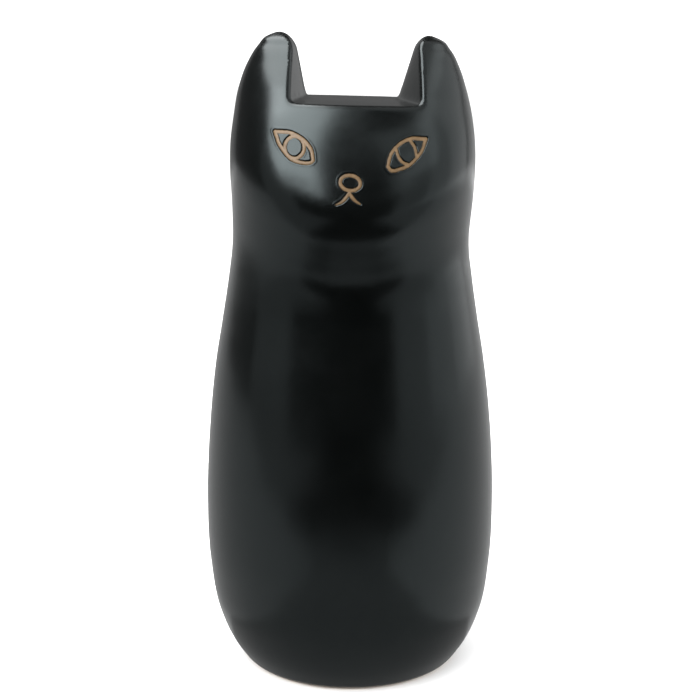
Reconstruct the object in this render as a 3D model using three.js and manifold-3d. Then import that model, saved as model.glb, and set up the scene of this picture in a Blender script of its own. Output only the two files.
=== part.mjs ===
// Ceramic cat figurine: a hollow slip-cast body with two ears, and a face drawn in four copper lines
// that lie in carved grooves.
// Millimetres, +Z up. The cat looks along -Y, and +X is the viewer's right.
// The origin is the middle of the resting plane.

import * as THREE from 'three';
import { mergeVertices } from 'three/addons/utils/BufferGeometryUtils.js';
import Module from 'manifold-3d';

const wasm = await Module();
wasm.setup();

// ---- Dimensions of the body ----

const TOP = 300; // resting plane to the ear tips, before the head tilts

// Cross-sections from the foot to the ear tips.
// height, half width, depth in front of the axis, depth behind it, sideways shift of the middle
const SECTIONS = [
  [0, 52, 50, 50, 0],
  [10, 58.5, 56, 56, 0],
  [25, 64.6, 62, 62, 0],
  [50, 68.5, 65.8, 65.8, 0],
  [80, 69.4, 66.6, 66.6, 0],
  [115, 67.6, 64.8, 64.6, 0],
  [150, 63.5, 60.2, 60.4, 0],
  [168, 60.4, 57, 57.2, 0.1],
  [182, 58.1, 55.2, 54.7, 0.15],
  [192, 56.6, 55.7, 53.1, 0.2],
  [200, 55.5, 58.1, 51.8, 0.2],
  [209, 55, 61.2, 51.2, 0.4],
  [217, 55.3, 63, 51.5, 0.7],
  [226, 55.8, 63.6, 51.8, 1],
  [236, 56.3, 61.4, 51.6, 1.1],
  [250, 56.2, 56, 48.8, 1.3],
  [262, 54.9, 49.2, 43.5, 1.55],
  [275, 52.3, 38.2, 33.8, 1.4],
  [286, 48.4, 25.6, 23.4, 1.65],
  [294, 43.6, 15.2, 14.4, 2],
  [298, 39.6, 8.4, 8.4, 2],
  [TOP, 34.7, 0.8, 0.8, 1.8],
];
const HALF_WIDTH = 1;
const FRONT = 2;
const BACK = 3;
const SHIFT = 4;

const ROUND_EXPONENT = 2; // a plain ellipse at the foot
const SQUARE_EXPONENT = 2.4; // a slightly squarer section at the ears
const FOOT_RADIUS = 2.6; // rounding of the edge that the body stands on

const THINNEST = 0.4; // smallest half depth of a drawn-in form
const RINGS = 40;
const SEGMENTS = 56;
const RING_CROWDING = 0.85; // 0 spaces the rings evenly, 1 crowds them fully at the foot and ears

// The chin's underside climbs from its middle to the sides of the head.
const CHIN_RISE = 22;
const CHIN_START = 180;
const CHIN_FULL = 212;
const CHIN_FADING = 240;
const CHIN_GONE = 275;

// The head leans a little to the viewer's right, as a handmade one does.
const HEAD_TILT = 0.026;
const TILT_START = 190;
const TILT_FULL = 260;

// ---- Dimensions of the gap between the ears ----

const GAP_FLOOR = 271.7;
const GAP_LEFT = -19.9; // where the left wall meets the floor
const GAP_RIGHT = 22.1;
const LEFT_WALL_LEAN = 0.19; // sideways travel per mm of height
const RIGHT_WALL_LEAN = 0.31;
const LEFT_TIP = -32.9; // middle of the left ear's tip
const RIGHT_TIP = 36.6;
const TIP_CLEARANCE = 0.3; // the cut leaves the very top of the ears alone
const GAP_FILLET = 2.8;
const LEFT_WALL_SPLAY = 0.2; // the walls open towards the front and the back
const RIGHT_WALL_SPLAY = 0.3;
const SPLAY_SOFTNESS = 8; // depth over which the waist between the two openings is rounded
const FLOOR_CROWN = 1.2; // drop of the floor at CROWN_DEPTH in front of and behind the axis
const CROWN_DEPTH = 24;
const GAP_CUT_DEPTH = 100;
const GAP_STEPS = 20;
const GAP_CURVE_SEGMENTS = 7;
const CUT_SIDE = 70;
const CUT_TOP = 320;

// ---- Dimensions of the hollow and the underside ----

const WALL = 6;
const SLOPING_WALL = 7.5; // front to back, so that the sloping face is WALL thick too
const FLOOR_WALL = 8;
const HOLLOW_TOP = 288;
const HOLLOW_RINGS = 22;
const HOLLOW_SEGMENTS = 32;
const RECESS_MARGIN = 10; // width of the foot ring
const RECESS_DEPTH = 2;
const POUR_HOLE_RADIUS = 13;
const ROUND_SEGMENTS = 32;

// ---- Dimensions of the face lines ----

const LINE_WIDTH = 1.5;
const GROOVE_CLEARANCE = 0.3;
const GROOVE_DEPTH = 1.5;
const LINE_TOP = 0.4; // the line lies this far below the glaze
const LINE_BOTTOM = 1.2;
const FACE_NEAR = 20; // distances in front of the axis between which the face lies
const FACE_FAR = 80;
const STROKE_STEPS = 14;
const CAP_SEGMENTS = 12;
const RING_LINE_SEGMENTS = 28;

// Points of each line in the front view, sideways and up.
const LEFT_UPPER_LID = [[-32.4, 259.4], [-25.7, 259.1], [-20.1, 256.4], [-16.6, 252.3], [-15.7, 247.9]];
const LEFT_LOWER_LID = [
  [-32.4, 259.4], [-30.1, 253.9], [-25.3, 248.6], [-20.2, 247], [-17.2, 247], [-15.7, 247.9],
];
const LEFT_IRIS = { x: -23.8, z: 253.2, halfWidth: 4.2, halfHeight: 4.5, turn: -0.15 };
const RIGHT_UPPER_LID = [[32.7, 256.3], [26.2, 256.7], [20.8, 254.3], [17.4, 250.3], [16.1, 245.6]];
const RIGHT_LOWER_LID = [
  [32.7, 256.3], [30.5, 251.2], [25.7, 246.2], [20.6, 244.2], [17.6, 243.8], [16.1, 245.6],
];
const RIGHT_IRIS_INNER = [[19.6, 252.8], [20.2, 250.6], [21.2, 248.4], [22.8, 246.9], [24.7, 246.2]];
const RIGHT_IRIS_OUTER = [[25.6, 256.2], [27.5, 253.5], [28.3, 250.8], [28.5, 248.7]];
const NOSE = { x: 0.1, z: 238.9, halfWidth: 4.3, halfHeight: 3.1, turn: -0.17 };
const MOUTH_LEFT = [[-0.3, 234.1], [-2, 232.4], [-3.6, 231], [-5.9, 229.9]];
const MOUTH_RIGHT = [[-0.3, 234.1], [1, 232.7], [2.4, 231.4], [4.3, 230.2]];

// ---- Solids ----

function toSolid(geometry) {
  geometry.deleteAttribute('normal');
  geometry.deleteAttribute('uv');
  const merged = mergeVertices(geometry);
  return new wasm.Manifold(new wasm.Mesh({
    numProp: 3,
    vertProperties: new Float32Array(merged.attributes.position.array),
    triVerts: new Uint32Array(merged.index.array),
  }));
}

function toGeometry(solid) {
  const mesh = solid.getMesh();
  const geometry = new THREE.BufferGeometry();
  geometry.setAttribute('position', new THREE.BufferAttribute(mesh.vertProperties, 3));
  geometry.setIndex(new THREE.BufferAttribute(mesh.triVerts, 1));
  geometry.computeVertexNormals();
  return geometry;
}

function moveVertices(geometry, move) {
  const position = geometry.attributes.position;
  const point = new THREE.Vector3();
  for (let i = 0; i < position.count; i += 1) {
    point.fromBufferAttribute(position, i);
    move(point);
    position.setXYZ(i, point.x, point.y, point.z);
  }
  return geometry;
}

// ---- Body form ----

// Rise of a column per mm of height between section k and the next one.
function steepness(k, column) {
  const low = SECTIONS[k];
  const high = SECTIONS[k + 1];
  return (high[column] - low[column]) / (high[0] - low[0]);
}

// Slope of the smooth profile at section k, from the parabola through it and its neighbours.
function slope(k, column) {
  const last = SECTIONS.length - 1;
  if (k === 0) return steepness(0, column);
  if (k === last) return steepness(last - 1, column);
  const below = SECTIONS[k][0] - SECTIONS[k - 1][0];
  const above = SECTIONS[k + 1][0] - SECTIONS[k][0];
  return (steepness(k - 1, column) * above + steepness(k, column) * below) / (below + above);
}

// Smooth value of a column at any height.
function profile(height, column) {
  let k = 0;
  while (k < SECTIONS.length - 2 && height > SECTIONS[k + 1][0]) k += 1;
  const low = SECTIONS[k];
  const high = SECTIONS[k + 1];
  const span = high[0] - low[0];
  const t = (height - low[0]) / span;
  return low[column] * (1 + 2 * t) * (1 - t) ** 2
    + high[column] * t * t * (3 - 2 * t)
    + span * slope(k, column) * t * (1 - t) ** 2
    - span * slope(k + 1, column) * t * t * (1 - t);
}

function sectionExponent(height) {
  return THREE.MathUtils.mapLinear(height, 0, TOP, ROUND_EXPONENT, SQUARE_EXPONENT);
}

// How far the rounded foot edge draws the wall in.
function footRounding(height) {
  if (height >= FOOT_RADIUS) return 0;
  return FOOT_RADIUS - Math.sqrt(FOOT_RADIUS ** 2 - (FOOT_RADIUS - height) ** 2);
}

// How far the face's profile has climbed at a share of the half width.
function chinRise(share, height) {
  const below = THREE.MathUtils.smoothstep(height, CHIN_START, CHIN_FULL);
  const above = 1 - THREE.MathUtils.smoothstep(height, CHIN_FADING, CHIN_GONE);
  return CHIN_RISE * share ** 2 * below * above;
}

function tiltDrop(x, height) {
  return HEAD_TILT * x * THREE.MathUtils.smoothstep(height, TILT_START, TILT_FULL);
}

// Heights from low to high, crowded towards both ends.
function ringHeights(low, high, rings) {
  const heights = [];
  for (let i = 0; i <= rings; i += 1) {
    const t = i / rings;
    const eased = t - RING_CROWDING * Math.sin(2 * Math.PI * t) / (2 * Math.PI);
    heights.push(THREE.MathUtils.lerp(low, high, eased));
  }
  return heights;
}

// The smooth body without its gap, drawn in by sideInset all round and depthInset front to back.
function bodyForm({ low, high, sideInset, depthInset, rings, segments }) {
  const outline = [new THREE.Vector2(0, low)];
  for (const height of ringHeights(low, high, rings)) {
    outline.push(new THREE.Vector2(1, height));
  }
  outline.push(new THREE.Vector2(0, high));
  const geometry = new THREE.LatheGeometry(outline, segments);
  geometry.rotateX(Math.PI / 2);
  moveVertices(geometry, (point) => {
    const height = point.z;
    const power = 2 / sectionExponent(height);
    const rounding = footRounding(height);
    const halfWidth = profile(height, HALF_WIDTH) - sideInset - rounding;
    const share = Math.abs(point.x) ** power;
    const reach = point.y < 0 ? profile(height - chinRise(share, height), FRONT) : profile(height, BACK);
    const depth = Math.max(reach - depthInset - rounding, THINNEST);
    point.x = profile(height, SHIFT) + halfWidth * Math.sign(point.x) * share;
    point.y = depth * Math.sign(point.y) * Math.abs(point.y) ** power;
    point.z = height - tiltDrop(point.x, height);
  });
  return toSolid(geometry);
}

function outerForm(inset) {
  return bodyForm({
    low: 0,
    high: TOP,
    sideInset: inset,
    depthInset: inset,
    rings: RINGS,
    segments: SEGMENTS,
  });
}

// ---- Gap between the ears ----

// One wall of the gap: the foot of its slope, and the arc that carries it over the ear's tip.
// side is -1 for the left wall and 1 for the right one.
function gapWall(side, grow) {
  const lean = side < 0 ? LEFT_WALL_LEAN : RIGHT_WALL_LEAN;
  const foot = side < 0 ? GAP_LEFT : GAP_RIGHT;
  const tip = side < 0 ? LEFT_TIP : RIGHT_TIP;
  const stretch = Math.hypot(1, lean);
  const floor = GAP_FLOOR - grow;
  const start = foot + side * grow * (stretch - lean);
  const apex = TOP + TIP_CLEARANCE - grow;
  const reach = (side * (tip - start) - lean * (apex - floor)) / stretch;
  const radius = reach / (1 - lean / stretch);
  const angle = side < 0 ? Math.atan(lean) : Math.PI - Math.atan(lean);
  return { lean, start, floor, tip, apex, radius, angle, middle: apex - radius };
}

// The cut between the ears, made larger by grow on its floor and walls.
function gapCut(grow) {
  const left = gapWall(-1, grow);
  const right = gapWall(1, grow);
  const floor = left.floor;
  const outline = new THREE.Shape();
  outline.moveTo(-CUT_SIDE, CUT_TOP);
  outline.lineTo(-CUT_SIDE, left.apex);
  outline.lineTo(left.tip, left.apex);
  outline.absarc(left.tip, left.middle, left.radius, Math.PI / 2, left.angle, true);
  outline.lineTo(left.start - left.lean * GAP_FILLET, floor + GAP_FILLET);
  outline.quadraticCurveTo(left.start, floor, left.start + GAP_FILLET, floor);
  outline.lineTo(right.start - GAP_FILLET, floor);
  outline.quadraticCurveTo(right.start, floor, right.start + right.lean * GAP_FILLET, floor + GAP_FILLET);
  outline.absarc(right.tip, right.middle, right.radius, right.angle, Math.PI / 2, true);
  outline.lineTo(CUT_SIDE, right.apex);
  outline.lineTo(CUT_SIDE, CUT_TOP);
  const geometry = new THREE.ExtrudeGeometry(outline, {
    depth: GAP_CUT_DEPTH,
    steps: GAP_STEPS,
    bevelEnabled: false,
    curveSegments: GAP_CURVE_SEGMENTS,
  });
  geometry.rotateX(Math.PI / 2);
  geometry.translate(0, GAP_CUT_DEPTH / 2, 0);
  moveVertices(geometry, (point) => {
    const rate = point.x < 0 ? LEFT_WALL_SPLAY : RIGHT_WALL_SPLAY;
    const splay = rate * (Math.hypot(point.y, SPLAY_SOFTNESS) - SPLAY_SOFTNESS);
    const crown = FLOOR_CROWN * (point.y / CROWN_DEPTH) ** 2;
    const height = point.z;
    point.x += splay * THREE.MathUtils.clamp(point.x / GAP_RIGHT, -1, 1);
    point.z = height - crown - tiltDrop(point.x, height);
  });
  return toSolid(geometry);
}

// ---- Face lines ----

// A prism through the face with the given front-view outline.
function facePrism(shape) {
  const geometry = new THREE.ExtrudeGeometry(shape, {
    depth: FACE_FAR - FACE_NEAR,
    steps: 1,
    bevelEnabled: false,
    curveSegments: RING_LINE_SEGMENTS / 2,
  });
  geometry.rotateX(Math.PI / 2);
  geometry.translate(0, -FACE_NEAR, 0);
  return toSolid(geometry);
}

function dot(x, z, width) {
  const shape = new THREE.Shape();
  shape.absellipse(x, z, width / 2, width / 2, 0, 2 * Math.PI);
  return facePrism(shape);
}

// A drawn line with round ends along a smooth curve through its points.
function stroke(points, width) {
  const curve = new THREE.CatmullRomCurve3(points.map(([x, z]) => new THREE.Vector3(x, z, 0)));
  const leftSide = [];
  const rightSide = [];
  for (let i = 0; i <= STROKE_STEPS; i += 1) {
    const here = curve.getPoint(i / STROKE_STEPS);
    const along = curve.getTangent(i / STROKE_STEPS);
    const across = new THREE.Vector2(-along.y, along.x).setLength(width / 2);
    leftSide.push(new THREE.Vector2(here.x + across.x, here.y + across.y));
    rightSide.push(new THREE.Vector2(here.x - across.x, here.y - across.y));
  }
  const ribbon = facePrism(new THREE.Shape([...leftSide, ...rightSide.reverse()]));
  const [startX, startZ] = points[0];
  const [endX, endZ] = points[points.length - 1];
  return ribbon.add(dot(startX, startZ, width)).add(dot(endX, endZ, width));
}

function ringStroke({ x, z, halfWidth, halfHeight, turn }, width) {
  const shape = new THREE.Shape();
  shape.absellipse(x, z, halfWidth + width / 2, halfHeight + width / 2, 0, 2 * Math.PI, false, turn);
  const hole = new THREE.Path();
  hole.absellipse(x, z, halfWidth - width / 2, halfHeight - width / 2, 0, 2 * Math.PI, true, turn);
  shape.holes.push(hole);
  return facePrism(shape);
}

function strokes(curves, width) {
  return wasm.Manifold.union(curves.map((points) => stroke(points, width)));
}

const FACE_LINES = {
  left_eye_line: (width) => strokes([LEFT_UPPER_LID, LEFT_LOWER_LID], width).add(ringStroke(LEFT_IRIS, width)),
  right_eye_line: (width) => strokes(
    [RIGHT_UPPER_LID, RIGHT_LOWER_LID, RIGHT_IRIS_INNER, RIGHT_IRIS_OUTER],
    width,
  ),
  nose_line: (width) => ringStroke(NOSE, width),
  mouth_line: (width) => strokes([MOUTH_LEFT, MOUTH_RIGHT], width),
};

// ---- Body ----

// An upright elliptical plug under the body.
function plug(halfWidth, halfDepth, low, high) {
  const geometry = new THREE.CylinderGeometry(1, 1, high - low, ROUND_SEGMENTS);
  geometry.rotateX(Math.PI / 2);
  geometry.scale(halfWidth, halfDepth, 1);
  geometry.translate(0, 0, (low + high) / 2);
  return toSolid(geometry);
}

function hollow() {
  const space = bodyForm({
    low: FLOOR_WALL,
    high: HOLLOW_TOP,
    sideInset: WALL,
    depthInset: SLOPING_WALL,
    rings: HOLLOW_RINGS,
    segments: HOLLOW_SEGMENTS,
  });
  return space.subtract(gapCut(WALL));
}

function bodySolid() {
  const footWidth = profile(0, HALF_WIDTH) - RECESS_MARGIN;
  const footDepth = profile(0, FRONT) - RECESS_MARGIN;
  const recess = plug(footWidth, footDepth, -1, RECESS_DEPTH);
  const pourHole = plug(POUR_HOLE_RADIUS, POUR_HOLE_RADIUS, -1, FLOOR_WALL + 1);
  const grooveFloor = outerForm(GROOVE_DEPTH);
  let solid = outerForm(0).subtract(gapCut(0)).subtract(hollow()).subtract(recess).subtract(pourHole);
  for (const line of Object.values(FACE_LINES)) {
    solid = solid.subtract(line(LINE_WIDTH + 2 * GROOVE_CLEARANCE).subtract(grooveFloor));
  }
  return solid;
}

// ---- Assembly ----

const BLACK_GLAZE = new THREE.MeshStandardMaterial({ color: 0x1a1e1d, roughness: 0.35, metalness: 0 });
const COPPER_SLIP = new THREE.MeshStandardMaterial({ color: 0x9b8264, roughness: 0.5, metalness: 0.2 });

const cat = new THREE.Group();

function addNode(name, solid, material) {
  const mesh = new THREE.Mesh(toGeometry(solid), material);
  mesh.name = name;
  cat.add(mesh);
}

addNode('body', bodySolid(), BLACK_GLAZE);
const lineTop = outerForm(LINE_TOP);
const lineBottom = outerForm(LINE_BOTTOM);
for (const [name, line] of Object.entries(FACE_LINES)) {
  addNode(name, line(LINE_WIDTH).intersect(lineTop).subtract(lineBottom), COPPER_SLIP);
}

export default cat;
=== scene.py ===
"""Looks of the ceramic cat figurine: satin black glaze over bare clay, with a face drawn in copper slip."""

import math

import bmesh
import bpy
import numpy as np
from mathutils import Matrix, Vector


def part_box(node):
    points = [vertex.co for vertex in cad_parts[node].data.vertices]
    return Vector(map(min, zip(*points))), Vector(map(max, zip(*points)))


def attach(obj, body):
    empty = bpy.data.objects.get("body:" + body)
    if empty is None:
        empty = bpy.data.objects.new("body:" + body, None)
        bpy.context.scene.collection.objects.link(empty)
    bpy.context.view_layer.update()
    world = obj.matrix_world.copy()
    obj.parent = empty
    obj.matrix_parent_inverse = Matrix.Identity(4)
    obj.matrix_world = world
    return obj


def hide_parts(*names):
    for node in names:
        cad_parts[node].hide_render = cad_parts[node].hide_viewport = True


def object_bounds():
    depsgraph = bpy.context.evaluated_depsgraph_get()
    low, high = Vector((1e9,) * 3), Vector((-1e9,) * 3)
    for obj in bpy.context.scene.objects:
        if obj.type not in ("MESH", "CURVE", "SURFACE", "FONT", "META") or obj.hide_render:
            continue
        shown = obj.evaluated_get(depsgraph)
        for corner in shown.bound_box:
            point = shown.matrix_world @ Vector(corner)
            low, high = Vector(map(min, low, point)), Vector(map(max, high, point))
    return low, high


MM = 0.001

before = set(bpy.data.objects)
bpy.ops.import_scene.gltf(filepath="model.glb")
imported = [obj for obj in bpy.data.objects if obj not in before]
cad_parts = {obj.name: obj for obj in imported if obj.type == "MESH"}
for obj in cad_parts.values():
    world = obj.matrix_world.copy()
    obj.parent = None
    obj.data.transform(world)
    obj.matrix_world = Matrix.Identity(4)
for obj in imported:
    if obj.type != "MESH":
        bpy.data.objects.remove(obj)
cad_low, cad_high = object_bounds()

# ---- Form of the body, in millimetres ----

TOP = 300.0  # resting plane to the ear tips, before the head tilts

# height, half width, depth in front of the axis, depth behind it, sideways shift of the middle
SECTIONS = np.array([
    (0, 52, 50, 50, 0),
    (10, 58.5, 56, 56, 0),
    (25, 64.6, 62, 62, 0),
    (50, 68.5, 65.8, 65.8, 0),
    (80, 69.4, 66.6, 66.6, 0),
    (115, 67.6, 64.8, 64.6, 0),
    (150, 63.5, 60.2, 60.4, 0),
    (168, 60.4, 57, 57.2, 0.1),
    (182, 58.1, 55.2, 54.7, 0.15),
    (192, 56.6, 55.5, 53.1, 0.2),
    (200, 55.5, 57.8, 51.8, 0.2),
    (209, 55, 60.6, 51.2, 0.4),
    (217, 55.3, 63, 51.5, 0.7),
    (226, 55.8, 63.6, 51.8, 1),
    (236, 56.3, 61.4, 51.6, 1.1),
    (250, 56.2, 56, 48.8, 1.3),
    (262, 54.9, 49.2, 43.5, 1.55),
    (275, 52.3, 38.2, 33.8, 1.4),
    (286, 48.4, 25.6, 23.4, 1.65),
    (294, 43.6, 15.2, 14.4, 2),
    (298, 39.6, 8.4, 8.4, 2),
    (TOP, 34.7, 0.8, 0.8, 1.8),
])
HALF_WIDTH, FRONT, BACK, SHIFT = 1, 2, 3, 4
ROUND_EXPONENT = 2.0  # a plain ellipse at the foot
SQUARE_EXPONENT = 2.4  # a slightly squarer section at the ears
CHIN_RISE = 22.0  # the chin's underside climbs this far from its middle to the sides of the head
CHIN_START, CHIN_FULL = 180.0, 212.0
CHIN_FADING, CHIN_GONE = 240.0, 275.0
HEAD_TILT = 0.026  # rise of the head's own level per millimetre to the viewer's right
TILT_START, TILT_FULL = 190.0, 260.0

# Gap between the ears. Each wall: its side, foot, lean, the ear tip's middle, and how far it
# splays out in front of and behind the axis.
GAP_FLOOR = 270.9
GAP_WALLS = (
    (-1, 19.9, 0.19, 32.9, 0.2),
    (1, 22.1, 0.31, 36.6, 0.3),
)
TIP_CLEARANCE = 0.8  # the round of each wall's top ends this far above the ear tips
SPLAY_SOFTNESS = 8.0
FLOOR_CROWN = 0.3  # drop of the floor at CROWN_DEPTH in front of and behind the axis
CROWN_DEPTH = 24.0
GAP_FILLET = 2.8  # inside corners of the gap
EDGE_ROUNDING = 1.4  # outside edges of the gap and of the ears
TIP_SHARPENING = 0.4  # the rounding tightens by this much up the ears
SHARPENING_START, SHARPENING_FULL = 276.0, 290.0
FOOT_ROUNDING = 2.6
TIP_ROUNDING = 0.6

WALL = 6.0
RECESS_MARGIN = 10.0  # width of the foot ring round the recess
RECESS_DEPTH = 2.0
POUR_HOLE_RADIUS = 13.0
POUR_HOLE_TOP = 10.0
UNDERSIDE_ROUNDING = 0.8

TABLE_STEP = 0.05
table_heights = np.arange(0, TOP + TABLE_STEP, TABLE_STEP)


def smooth_profile(column):
    """The column's smooth curve through the sections, sampled at table_heights."""
    heights, values = SECTIONS[:, 0], SECTIONS[:, column]
    gaps = np.diff(heights)
    rises = np.diff(values) / gaps
    slopes = np.empty(len(heights))
    slopes[0], slopes[-1] = rises[0], rises[-1]
    slopes[1:-1] = (rises[:-1] * gaps[1:] + rises[1:] * gaps[:-1]) / (gaps[:-1] + gaps[1:])
    k = np.clip(np.searchsorted(heights, table_heights, side="right") - 1, 0, len(gaps) - 1)
    t = (table_heights - heights[k]) / gaps[k]
    return (
        values[k] * (1 + 2 * t) * (1 - t) ** 2
        + values[k + 1] * t * t * (3 - 2 * t)
        + gaps[k] * slopes[k] * t * (1 - t) ** 2
        - gaps[k] * slopes[k + 1] * t * t * (1 - t)
    )


PROFILES = {column: smooth_profile(column) for column in (HALF_WIDTH, FRONT, BACK, SHIFT)}


def profile(height, column):
    return np.interp(height, table_heights, PROFILES[column])


def smooth_step(value, low, high):
    t = np.clip((value - low) / (high - low), 0, 1)
    return t * t * (3 - 2 * t)


def rounded_max(a, b, radius):
    """Both solids at once, with the edge where they meet rounded to the radius."""
    corner = np.hypot(np.maximum(radius + a, 0), np.maximum(radius + b, 0))
    return np.minimum(np.maximum(a, b), -radius) + corner


def level(points):
    """Height of each point in the head's own untilted frame."""
    x, z = points[..., 0], points[..., 2]
    return z + HEAD_TILT * x * smooth_step(z, TILT_START, TILT_FULL)


def radial_gap(points):
    """Sideways distance of each point from the body's surface, without its gap. Negative is inside."""
    height = level(points)
    x = points[..., 0] - profile(height, SHIFT)
    y = points[..., 1]
    side = np.abs(x / profile(height, HALF_WIDTH))
    above_neck = smooth_step(height, CHIN_START, CHIN_FULL)
    around_chin = above_neck * (1 - smooth_step(height, CHIN_FADING, CHIN_GONE))
    front = profile(height - CHIN_RISE * np.minimum(side, 1) ** 2 * around_chin, FRONT)
    depth = np.where(y < 0, front, profile(height, BACK))
    power = ROUND_EXPONENT + (SQUARE_EXPONENT - ROUND_EXPONENT) * np.clip(height / TOP, 0, 1)
    ratio = (side ** power + np.abs(y / depth) ** power) ** (1 / power)
    return np.hypot(x, y) * (1 - 1 / np.maximum(ratio, 1e-6))


def gradient(function, points, reach):
    """Central-difference gradient of a field at the points."""
    slopes = []
    for axis in range(3):
        step = np.zeros(3)
        step[axis] = reach
        slopes.append((function(points + step) - function(points - step)) / (2 * reach))
    return np.stack(slopes, -1)


def form_distance(points):
    """Distance from the body's surface, without its gap."""
    steepness = np.linalg.norm(gradient(radial_gap, points, 0.05), axis=-1)
    return radial_gap(points) / np.maximum(steepness, 0.3)


def gap_distance(points):
    """Distance into the open gap between the ears, negative in the clay."""
    x, y, height = points[..., 0], points[..., 1], level(points)
    height = height + FLOOR_CROWN * (y / CROWN_DEPTH) ** 2
    solid = GAP_FLOOR - height
    for side, foot, lean, tip, splay in GAP_WALLS:
        out = side * x - splay * (np.hypot(y, SPLAY_SOFTNESS) - SPLAY_SOFTNESS)
        stretch = math.hypot(1, lean)
        apex = TOP + TIP_CLEARANCE
        radius = ((tip - foot) - lean * (apex - GAP_FLOOR)) / (stretch - lean)
        middle = apex - radius
        beside = ((out - tip) - lean * (height - middle)) / stretch
        above = middle - height
        past_corner = np.hypot(np.minimum(beside, 0), np.minimum(above, 0))
        ear = radius - past_corner + np.minimum(np.maximum(beside, 0), np.maximum(above, 0))
        solid = rounded_max(solid, ear, GAP_FILLET)
    return -solid


def hand_wave(points):
    """Faint unevenness of a surface that was finished by hand."""
    x, y, z = points[..., 0], points[..., 1], points[..., 2]
    front_waves = np.sin(x / 13 + 0.7) * np.sin(z / 17 + 1.1)
    broad = front_waves + np.sin(y / 15 + z / 29 + 2.3) * np.cos(x / 21 - 0.4)
    fine = np.sin(x / 5.3 + z / 7.9) * np.sin(z / 6.1 - x / 9.7 + y / 8.3)
    return 0.07 * broad + 0.02 * fine


def outer_distance(points):
    """Distance from the cat's outer surface."""
    body = rounded_max(form_distance(points), level(points) - TOP, TIP_ROUNDING)
    body = rounded_max(body, -points[..., 2], FOOT_ROUNDING)
    # The wave fades out at the foot, so that the cat stands on a flat ring.
    wave = hand_wave(points) * smooth_step(points[..., 2], 2, 20)
    up_the_ear = smooth_step(level(points), SHARPENING_START, SHARPENING_FULL)
    rounding = EDGE_ROUNDING - TIP_SHARPENING * up_the_ear
    return rounded_max(body, gap_distance(points), rounding) + wave


def shell_distance(points):
    """Distance from the hollow casting, with its foot ring and pour hole."""
    outer = outer_distance(points)
    across = np.hypot(points[..., 0], points[..., 1])
    foot_width, foot_depth = SECTIONS[0, HALF_WIDTH], SECTIONS[0, FRONT]
    ring_shape = np.hypot(
        points[..., 0] / (foot_width - RECESS_MARGIN), points[..., 1] / (foot_depth - RECESS_MARGIN)
    )
    recess = np.maximum((ring_shape - 1) * (foot_depth - RECESS_MARGIN), points[..., 2] - RECESS_DEPTH)
    hole = np.maximum(across - POUR_HOLE_RADIUS, points[..., 2] - POUR_HOLE_TOP)
    hollow = outer + WALL
    empty = np.minimum(np.minimum(recess, hole), hollow)
    return rounded_max(outer, -empty, UNDERSIDE_ROUNDING)


def pull_to_surface(function, points, rounds=4, reach=0.04, limit=1.0):
    """Moves the points onto the field's zero surface."""
    for _ in range(rounds):
        slope = gradient(function, points, reach)
        size = np.maximum((slope ** 2).sum(-1), 0.05)
        move = slope * (function(points) / size)[..., None]
        length = np.linalg.norm(move, axis=-1, keepdims=True)
        points = points - move * np.minimum(1, limit / np.maximum(length, 1e-9))
    return points


# ---- Surface from the form ----

NET_STEP = 1.6
NET_MARGIN = 3.0


def surface_net(values, low, step):
    """Quads around the zero surface of a sampled field, with one vertex in each cell that it crosses."""
    inside = values < 0
    cells = tuple(n - 1 for n in values.shape)
    total = np.zeros((math.prod(cells), 3))
    count = np.zeros(math.prod(cells))
    quads = []
    for axis in range(3):
        unit = np.eye(3, dtype=int)[axis]
        here = inside.take(range(values.shape[axis] - 1), axis)
        ahead = inside.take(range(1, values.shape[axis]), axis)
        start = np.argwhere(here != ahead)
        end = start + unit
        value_here = values[tuple(start.T)]
        value_ahead = values[tuple(end.T)]
        crossing = start + unit * (value_here / (value_here - value_ahead))[:, None]
        corners = []
        for across, up in ((0, 0), (-1, 0), (-1, -1), (0, -1)):
            cell = start.copy()
            cell[:, (axis + 1) % 3] += across
            cell[:, (axis + 2) % 3] += up
            index = np.ravel_multi_index(tuple(cell.T), cells)
            np.add.at(total, index, crossing)
            np.add.at(count, index, 1)
            corners.append(index)
        quad = np.stack(corners, 1)
        leaving = inside[tuple(start.T)]
        quad[~leaving] = quad[~leaving][:, ::-1]
        quads.append(quad)
    used = np.flatnonzero(count)
    renumber = np.zeros(len(count), int)
    renumber[used] = np.arange(len(used))
    points = low + step * total[used] / count[used, None]
    return points, renumber[np.concatenate(quads)]


def body_surface():
    """Vertices and quads of the whole hollow casting, in millimetres."""
    low = np.array(cad_low) / MM - NET_MARGIN
    high = np.array(cad_high) / MM + NET_MARGIN
    axes = [np.arange(low[i], high[i], NET_STEP) for i in range(3)]
    grid = np.stack(np.meshgrid(*axes, indexing="ij"), -1)
    points, quads = surface_net(shell_distance(grid), low, NET_STEP)
    return pull_to_surface(shell_distance, points), quads


# ---- Face lines ----

LINE_RADIUS = 0.61  # nominal half width, where the slip is LINE_CROWN lower than in its middle
GROOVE_REACH = 1.05  # from the line's middle to where the glaze begins to dip
GROOVE_FLAT = 0.4  # half of the width of the groove's flat bottom
GROOVE_DEPTH = 1.2
RIM_HEIGHT = 0.05  # the glaze swells a little beside the groove
RIM_OFFSET = 0.35
RIM_SPREAD = 1.5  # the swelling has died away this far from the groove
LINE_DEPTH = 0.42  # the slip lies this far below the glaze, and lower at its edges
LINE_CROWN = 0.1
LINE_THICKNESS = 0.7
PATCH_REACH = 0.98  # the slip's hidden edge lies this far from the line's middle, in the groove's wall
SAMPLES_PER_SPAN = 10
WIDTH_UNEVENNESS = 0.045
FACE_MARGIN = 6.0  # distances are worked out this far round each line's box
FAR_AWAY = 99.0
REFINING_REACHES = (5.0, 3.6, 2.6)
OUTSIDE_DEPTH = 0.5  # points less than this far under the outer surface belong to it

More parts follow.
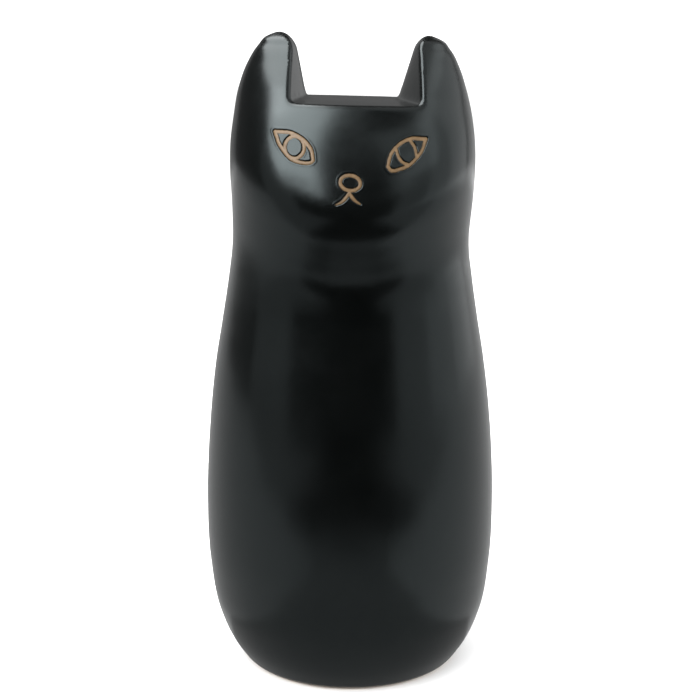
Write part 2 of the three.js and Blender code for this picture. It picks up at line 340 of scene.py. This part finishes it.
# Points in the front view, sideways and up, with the line's relative width at each.
LEFT_EYE = {
    "upper_lid": [
        (-32.4, 259.4, 1), (-25.7, 259.1, 1), (-20.1, 256.4, 1.1), (-16.6, 252.3, 1.05), (-15.7, 247.9, 0.9),
    ],
    "lower_lid": [
        (-32.4, 259.4, 1), (-30.1, 253.9, 1), (-25.3, 248.6, 1.05), (-20.2, 247, 1), (-17.2, 247, 0.95),
        (-15.7, 247.9, 0.9),
    ],
    "iris": {"x": -23.8, "z": 253.2, "half_width": 4.2, "half_height": 4.5, "turn": -0.15},
}
RIGHT_EYE = {
    "upper_lid": [
        (32.7, 256.3, 1.1), (26.2, 256.7, 1), (20.8, 254.3, 0.95), (17.4, 250.3, 1), (16.1, 245.6, 1),
    ],
    "lower_lid": [
        (32.7, 256.3, 1.1), (30.5, 251.2, 0.95), (25.7, 246.2, 1), (20.6, 244.2, 0.95), (17.6, 243.8, 1),
        (16.1, 245.6, 1),
    ],
    "iris_inner": [
        (19.6, 252.8, 0.9), (20.2, 250.6, 0.85), (21.2, 248.4, 0.85), (22.8, 246.9, 0.8), (24.7, 246.2, 0.8),
    ],
    "iris_outer": [(25.6, 256.2, 0.9), (27.5, 253.5, 0.85), (28.3, 250.8, 0.8), (28.5, 248.7, 0.8)],
}
NOSE = {"ring": {"x": 0.1, "z": 238.9, "half_width": 4.3, "half_height": 3.1, "turn": -0.17}}
MOUTH = {
    "left": [(-0.3, 234.8, 0.85), (-2, 232.5, 0.95), (-3.6, 231, 0.75), (-5.9, 229.9, 0.4)],
    "right": [(-0.3, 234.8, 0.85), (1, 232.8, 0.95), (2.4, 231.4, 0.75), (4.3, 230.2, 0.4)],
}
LINES = {"left_eye_line": LEFT_EYE, "right_eye_line": RIGHT_EYE, "nose_line": NOSE, "mouth_line": MOUTH}


def drawn_curve(points):
    """Close samples (x, z, relative width) along a smooth curve through the points."""
    knots = np.array(points, float)
    padded = np.concatenate([2 * knots[:1] - knots[1:2], knots, 2 * knots[-1:] - knots[-2:-1]])
    samples = []
    for a, b, c, d in zip(padded, padded[1:], padded[2:], padded[3:]):
        for t in np.arange(SAMPLES_PER_SPAN) / SAMPLES_PER_SPAN:
            samples.append(0.5 * (2 * b + (c - a) * t + (2 * a - 5 * b + 4 * c - d) * t ** 2
                                  + (3 * b - a - 3 * c + d) * t ** 3))
    samples.append(knots[-1])
    return np.array(samples)


def drawn_ring(x, z, half_width, half_height, turn):
    """Close samples round a turned ellipse."""
    angles = np.linspace(0, 2 * math.pi, 4 * SAMPLES_PER_SPAN + 1)
    across, up = half_width * np.cos(angles), half_height * np.sin(angles)
    return np.stack([
        x + across * math.cos(turn) - up * math.sin(turn),
        z + across * math.sin(turn) + up * math.cos(turn),
        np.ones(len(angles)),
    ], 1)


def line_distance(points, strokes):
    """Front-view distance of each point from the nearest stroke, shortened where the stroke is wide."""
    flat = points[:, [0, 2]]
    nearest = np.full(len(flat), np.inf)
    for shape in strokes.values():
        samples = drawn_ring(**shape) if isinstance(shape, dict) else drawn_curve(shape)
        for start, end in zip(samples, samples[1:]):
            along = end[:2] - start[:2]
            t = np.clip(((flat - start[:2]) @ along) / (along @ along), 0, 1)
            away = np.linalg.norm(flat - start[:2] - t[:, None] * along, axis=1)
            width = start[2] + t * (end[2] - start[2])
            nearest = np.minimum(nearest, away - LINE_RADIUS * (width - 1))
    x, z = flat[:, 0], flat[:, 1]
    uneven = np.sin(1.9 * x + 0.6 * z) * np.sin(1.3 * z - 0.5 * x + 1) + 0.6 * np.sin(3.7 * x - 2.9 * z)
    nearest = nearest + WIDTH_UNEVENNESS * uneven
    nearest[points[:, 1] > 0] = np.inf
    return nearest


def all_line_distances(points):
    """Distance of each point from each line, worked out only near the face."""
    distances = {}
    for name, strokes in LINES.items():
        low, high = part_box(name)
        near = (
            (points[:, 1] < 0)
            & (points[:, 0] > low.x / MM - FACE_MARGIN) & (points[:, 0] < high.x / MM + FACE_MARGIN)
            & (points[:, 2] > low.z / MM - FACE_MARGIN) & (points[:, 2] < high.z / MM + FACE_MARGIN)
        )
        distance = np.full(len(points), FAR_AWAY)
        distance[near] = line_distance(points[near], strokes)
        distances[name] = distance
    return distances


def read_points(bm):
    return np.array([v.co[:] for v in bm.verts])


def refine_near_lines(bm):
    """Splits the faces near the lines until they are fine enough to carve."""
    for reach in REFINING_REACHES:
        points = read_points(bm)
        nearest = np.min(list(all_line_distances(points).values()), axis=0)
        outside = outer_distance(points) > -OUTSIDE_DEPTH
        close = (nearest < reach) & outside
        bm.verts.ensure_lookup_table()
        edges = [e for e in bm.edges if close[e.verts[0].index] and close[e.verts[1].index]]
        before = len(bm.verts)
        bmesh.ops.subdivide_edges(bm, edges=edges, cuts=1, use_grid_fill=True)
        bm.verts.ensure_lookup_table()
        bm.verts.index_update()
        points = read_points(bm)
        points[before:] = pull_to_surface(outer_distance, points[before:], rounds=3)
        for vertex, place in zip(bm.verts, points):
            vertex.co = place


# ---- Meshes ----

BARE_CLAY = "bare_clay"


def new_object(name, mesh, material):
    mesh.materials.append(material)
    for polygon in mesh.polygons:
        polygon.use_smooth = True
    made = bpy.data.objects.new(name, mesh)
    bpy.context.collection.objects.link(made)
    return made


def mesh_in_metres(name, bm):
    bmesh.ops.scale(bm, vec=(MM, MM, MM), verts=bm.verts)
    mesh = bpy.data.meshes.new(name)
    bm.to_mesh(mesh)
    bm.free()
    return mesh


def line_mesh(name, source, normals, distance):
    """A thin closed inlay: the part of the surface within reach of the line, sunk and thickened."""
    bm = source.copy()
    bm.verts.ensure_lookup_table()
    far = [f for f in bm.faces if any(distance[v.index] > PATCH_REACH for v in f.verts)]
    depth = LINE_DEPTH + LINE_CROWN * (distance / LINE_RADIUS) ** 2
    for vertex in bm.verts:
        index = vertex.index
        if distance[index] <= PATCH_REACH:
            vertex.co = vertex.co - Vector(normals[index]) * float(depth[index])
    bmesh.ops.delete(bm, geom=far, context="FACES")
    loose = [v for v in bm.verts if not v.link_faces]
    bmesh.ops.delete(bm, geom=loose, context="VERTS")
    top = list(bm.faces)
    moved = bmesh.ops.extrude_face_region(bm, geom=top)["geom"]
    for item in moved:
        if isinstance(item, bmesh.types.BMVert):
            item.co.y += LINE_THICKNESS
    bmesh.ops.recalc_face_normals(bm, faces=bm.faces)
    return mesh_in_metres(name, bm)


def bare_clay(points):
    """Where the clay is bare, from 0 to 1: on the foot ring, the underside and the inside."""
    inside = smooth_step(-outer_distance(points), 0.5, 1.1)
    underneath = 1 - smooth_step(points[:, 2], 1.0, 1.8)
    return np.maximum(inside, underneath)


def body_bmesh():
    """The casting before its grooves are carved, fine enough near the lines to carve them."""
    points, quads = body_surface()
    bm = bmesh.new()
    vertices = [bm.verts.new(p) for p in points]
    for quad in quads:
        bm.faces.new([vertices[i] for i in quad])
    bm.verts.index_update()
    refine_near_lines(bm)
    return bm


def add_line(name, mesh, slip):
    line = new_object("drawn_" + name, mesh, slip)
    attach(line, "root")
    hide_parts(name)


def carve_grooves(bm, points, normals, nearest):
    """Sinks the surface under the lines, with a slight swelling of the glaze beside them."""
    dip = GROOVE_DEPTH * (1 - smooth_step(nearest, GROOVE_FLAT, GROOVE_REACH))
    rim = RIM_HEIGHT * np.exp(-((nearest - GROOVE_REACH - RIM_OFFSET) / RIM_OFFSET) ** 2)
    for vertex, place in zip(bm.verts, points - normals * (dip - rim)[:, None]):
        vertex.co = place


def build_cat():
    """The body and its lines, each as its own object."""
    bm = body_bmesh()
    points = read_points(bm)
    distances = all_line_distances(points)
    nearest = np.min(list(distances.values()), axis=0)
    carved = (nearest < GROOVE_REACH + RIM_SPREAD) & (outer_distance(points) > -OUTSIDE_DEPTH)
    normals = np.zeros_like(points)
    slope = gradient(outer_distance, points[carved], 0.04)
    normals[carved] = slope / np.linalg.norm(slope, axis=1, keepdims=True)
    slip = copper_slip()
    for name in LINES:
        mesh = line_mesh(name, bm, normals, np.where(carved, distances[name], FAR_AWAY))
        add_line(name, mesh, slip)
    bare = bare_clay(points)
    carve_grooves(bm, points, normals, nearest)
    mesh = mesh_in_metres("glazed_body", bm)
    mesh.attributes.new(BARE_CLAY, "FLOAT", "POINT").data.foreach_set("value", bare)
    body = new_object("glazed_body", mesh, black_glaze())
    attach(body, "root")
    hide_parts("body")


# ---- Materials ----

NOISE_RANGE = (0.35, 0.65)


def node_material(name):
    material = bpy.data.materials.new(name)
    material.use_nodes = True
    nodes, links = material.node_tree.nodes, material.node_tree.links
    return material, nodes, links, nodes["Principled BSDF"]


def noise(nodes, links, scale, detail):
    place = nodes.new("ShaderNodeTexCoord")
    made = nodes.new("ShaderNodeTexNoise")
    made.inputs["Scale"].default_value = scale
    made.inputs["Detail"].default_value = detail
    links.new(place.outputs["Object"], made.inputs["Vector"])
    return made.outputs["Fac"]


def ramp(nodes, links, value, low, high):
    """A number that runs from low to high over the noise's usual range."""
    made = nodes.new("ShaderNodeMapRange")
    made.inputs["From Min"].default_value, made.inputs["From Max"].default_value = NOISE_RANGE
    made.inputs["To Min"].default_value, made.inputs["To Max"].default_value = low, high
    links.new(value, made.inputs["Value"])
    return made.outputs["Result"]


def colour_ramp(nodes, links, value, low, high):
    """A colour that runs from low to high over the noise's usual range."""
    made = nodes.new("ShaderNodeValToRGB")
    first, last = made.color_ramp.elements
    first.position, last.position = NOISE_RANGE
    first.color, last.color = low, high
    links.new(value, made.inputs["Fac"])
    return made.outputs["Color"]


def bump(nodes, links, height, distance, strength=1.0, below=None):
    made = nodes.new("ShaderNodeBump")
    made.inputs["Strength"].default_value = strength
    made.inputs["Distance"].default_value = distance
    links.new(height, made.inputs["Height"])
    if below is not None:
        links.new(below, made.inputs["Normal"])
    return made.outputs["Normal"]


def mix(nodes, links, share, first, second, kind):
    """Blend of two sockets, of kind RGBA or FLOAT."""
    made = nodes.new("ShaderNodeMix")
    made.data_type = kind
    ins = [socket for socket in made.inputs if socket.enabled]
    outs = [socket for socket in made.outputs if socket.enabled]
    for value, socket in zip((share, first, second), ins):
        links.new(value, socket)
    return outs[0]


def black_glaze():
    """Satin black glaze, wiped off the foot, where the bare clay shows."""
    material, nodes, links, shader = node_material("black_glaze")
    bare = nodes.new("ShaderNodeAttribute")
    bare.attribute_name = BARE_CLAY
    mottle = noise(nodes, links, 60, 4)
    glaze = colour_ramp(nodes, links, mottle, (0.0006, 0.0008, 0.0007, 1), (0.001, 0.0012, 0.0011, 1))
    speckle = noise(nodes, links, 900, 4)
    clay = colour_ramp(nodes, links, speckle, (0.24, 0.18, 0.13, 1), (0.34, 0.27, 0.2, 1))
    links.new(mix(nodes, links, bare.outputs["Fac"], glaze, clay, "RGBA"), shader.inputs["Base Color"])
    satin = ramp(nodes, links, noise(nodes, links, 220, 3), 0.22, 0.24)
    dry = ramp(nodes, links, speckle, 0.8, 0.92)
    links.new(mix(nodes, links, bare.outputs["Fac"], satin, dry, "FLOAT"), shader.inputs["Roughness"])
    peel = bump(nodes, links, noise(nodes, links, 420, 2), 0.00003, 0.4)
    grain = bump(nodes, links, noise(nodes, links, 2600, 2), 0.00001, 0.3, below=peel)
    links.new(grain, shader.inputs["Normal"])
    shader.inputs["IOR"].default_value = 1.52
    shader.inputs["Specular Tint"].default_value = (0.84, 0.98, 1.0, 1)
    return material


def copper_slip():
    """Copper-coloured slip, slightly uneven in colour, with a soft sheen."""
    material, nodes, links, shader = node_material("copper_slip")
    patches = noise(nodes, links, 700, 3)
    colour = colour_ramp(nodes, links, patches, (0.088, 0.05, 0.018, 1), (0.118, 0.07, 0.028, 1))
    links.new(colour, shader.inputs["Base Color"])
    shader.inputs["Roughness"].default_value = 0.42
    rough = bump(nodes, links, noise(nodes, links, 2200, 3), 0.00006, 0.5)
    links.new(rough, shader.inputs["Normal"])
    return material


def pale_floor():
    material, nodes, links, shader = node_material("pale_floor")
    shader.inputs["Base Color"].default_value = (0.9, 0.9, 0.9, 1)
    shader.inputs["Roughness"].default_value = 0.6
    return material


# ---- Studio ----

CAMERA_DISTANCE = 0.65
CAMERA_HEIGHT = 0.306
CAMERA_PITCH = 13.327  # degrees below the horizon
FLOOR_REACH = 6.0
FLOOR_GLOW_HEIGHT = 0.0002


def aim(made, place, target):
    made.location = place
    made.rotation_mode = "QUATERNION"
    made.rotation_quaternion = (Vector(target) - Vector(place)).to_track_quat("-Z", "Y")


def add_camera():
    camera = bpy.data.objects.new("camera", bpy.data.cameras.new("camera"))
    bpy.context.collection.objects.link(camera)
    camera.data.sensor_width = 36
    camera.data.lens = 71.77
    camera.location = (0, -CAMERA_DISTANCE, CAMERA_HEIGHT)
    camera.rotation_euler = (math.radians(90 - CAMERA_PITCH), 0, 0)
    camera.data.clip_start, camera.data.clip_end = 0.02, 50
    bpy.context.scene.camera = camera


def add_soft_box(name, place, target, width, height, radiance):
    """A white rectangle of light at the place, facing the target, that the camera doesn't see."""
    light = bpy.data.lights.new(name, "AREA")
    light.shape = "RECTANGLE"
    light.size, light.size_y = width, height
    light.energy = radiance * math.pi * width * height
    made = bpy.data.objects.new(name, light)
    bpy.context.collection.objects.link(made)
    aim(made, place, target)
    made.visible_camera = False


def add_wall_card(azimuth, distance, width, low, high, radiance):
    """An upright soft box round the cat. Azimuth 0 is in front and grows towards the viewer's right."""
    turn = math.radians(azimuth)
    place = Vector((distance * math.sin(turn), -distance * math.cos(turn), (low + high) / 2))
    add_soft_box("wall_card", place, (0, 0, place.z), width, high - low, radiance)


def add_floor_glow(low, high, radiance):
    """Light that the glaze reflects from the floor."""
    place = Vector(((low[0] + high[0]) / 2, (low[1] + high[1]) / 2, FLOOR_GLOW_HEIGHT))
    above = place + Vector((0, 0, 1))
    add_soft_box("floor_glow", place, above, high[0] - low[0], high[1] - low[1], radiance)


def add_floor():
    """A wide pale floor that the glaze doesn't reflect, because the floor glows stand in for it."""
    bm = bmesh.new()
    corners = [(-1, -1), (1, -1), (1, 1), (-1, 1)]
    bm.faces.new([bm.verts.new((FLOOR_REACH * x, FLOOR_REACH * y, 0)) for x, y in corners])
    mesh = bpy.data.meshes.new("floor")
    bm.to_mesh(mesh)
    bm.free()
    mesh.materials.append(pale_floor())
    made = bpy.data.objects.new("floor", mesh)
    bpy.context.collection.objects.link(made)
    made.visible_glossy = False


def add_world():
    """White light from all round, which the glaze doesn't reflect."""
    world = bpy.data.worlds.new("studio")
    world.use_nodes = True
    world.node_tree.nodes["Background"].inputs["Color"].default_value = (1, 1, 1, 1)
    world.node_tree.nodes["Background"].inputs["Strength"].default_value = 1.6
    world.cycles_visibility.glossy = False
    bpy.context.scene.world = world


def add_studio():
    """One big light above on the left, with fainter cards and patches of floor for the glaze to reflect."""
    add_world()
    bpy.context.scene.view_settings.view_transform = "Standard"
    key_place = Vector((-0.606, -0.481, 1.042))
    add_soft_box("key", key_place, key_place + Vector((0.183, 0.683, -0.707)), 0.95, 1.2, 6.0)
    add_soft_box("key_overhead", (-0.54, 0.5, 1.6), (-0.54, 0.5, 0), 0.91, 1.3, 4.8)
    add_soft_box("right_overhead", (0.6, 0.4, 1.6), (0.6, 0.4, 0), 1.0, 1.2, 0.5)
    add_soft_box("front_top", (0.62, -0.6, 0.986), (0, 0, 0.25), 1.0, 0.85, 0.7)
    add_wall_card(44, 1.15, 0.62, 0.05, 1.3, 0.46)
    add_wall_card(75, 1.15, 0.62, 0.05, 2.3, 0.8)
    add_wall_card(110, 1.15, 0.78, 0.05, 2.3, 1.05)
    add_wall_card(150, 1.3, 0.75, 0.05, 1.3, 0.6)
    add_wall_card(180, 1.3, 0.6, 0.3, 1.1, 0.2)
    add_wall_card(-62, 1.15, 0.85, 0.08, 0.9, 0.34)
    add_wall_card(-112, 1.15, 1.1, 0.08, 1.3, 0.1)
    add_wall_card(-155, 1.3, 0.7, 0.05, 1.3, 0.3)
    add_floor_glow((-1.6, -0.25), (-0.09, 2), 0.58)
    add_floor_glow((-1.6, -1.3), (-0.25, -0.25), 0.33)
    add_floor_glow((0.09, -0.25), (2, 2), 0.7)
    add_floor_glow((0.3, -1.3), (2, -0.25), 0.42)
    add_floor_glow((-0.09, -0.29), (0.09, 0), 0.35)
    add_floor_glow((-0.09, 0), (0.09, 2), 0.7)
    add_floor()


add_camera()
add_studio()
build_cat()
